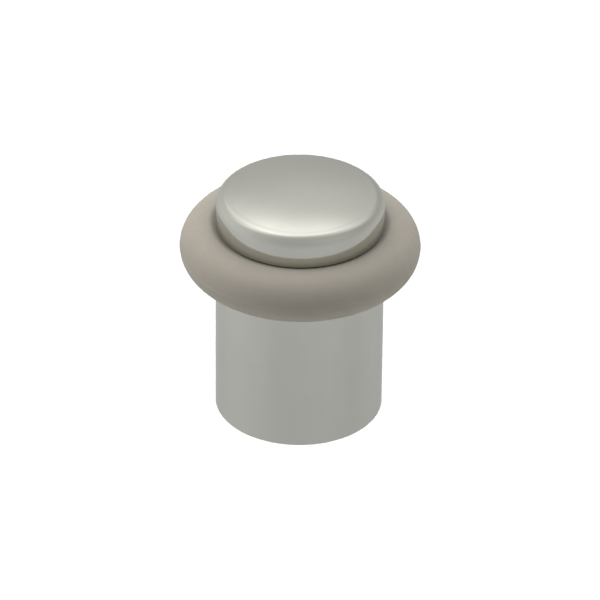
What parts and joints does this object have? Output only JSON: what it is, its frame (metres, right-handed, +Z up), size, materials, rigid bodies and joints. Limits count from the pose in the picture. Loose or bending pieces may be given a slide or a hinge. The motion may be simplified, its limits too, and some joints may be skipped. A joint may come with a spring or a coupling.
{
  "type": "floor door stop",
  "caption": "Round floor-mounted door stop: a satin metal post with a low domed head and a thick grey rubber bumper ring set between them.",
  "frame": {"origin": "middle of the base, in the plane of the floor that the post stands on", "axes": "+Z up along the post's axis, +X and +Y in the floor's plane; the part is round, so X and Y are free"},
  "size_m": [0.04, 0.04, 0.0414],
  "materials": {
    "satin_nickel": "satin nickel plating on cast zinc",
    "grey_rubber": "matt moulded rubber",
    "zinc_steel": "bright zinc plating on steel"
  },
  "bodies": {
    "post": {"post": "satin_nickel"},
    "bumper": {"bumper_ring": "grey_rubber"},
    "head": {"domed_head": "satin_nickel"},
    "fixing_screw": {"fixing_screw": "zinc_steel"}
  },
  "joints": [
    {"name": "ring_lift", "type": "slide", "parent": "post", "child": "bumper", "axis": [0, 0, 1], "range_m": [0, 0.009]},
    {"name": "head_turn", "type": "hinge", "parent": "bumper", "child": "head", "pos_m": [0, 0, 0.03], "axis": [0, 0, 1], "range_deg": [0, 2160]},
    {"name": "screw_drive", "type": "slide", "parent": "post", "child": "fixing_screw", "axis": [0, 0, -1], "range_m": [0, 0.0306]}
  ],
  "couplings": [
    {"joint": "ring_lift", "follows": "head_turn", "m_per_rad": 0.00023873}
  ]
}
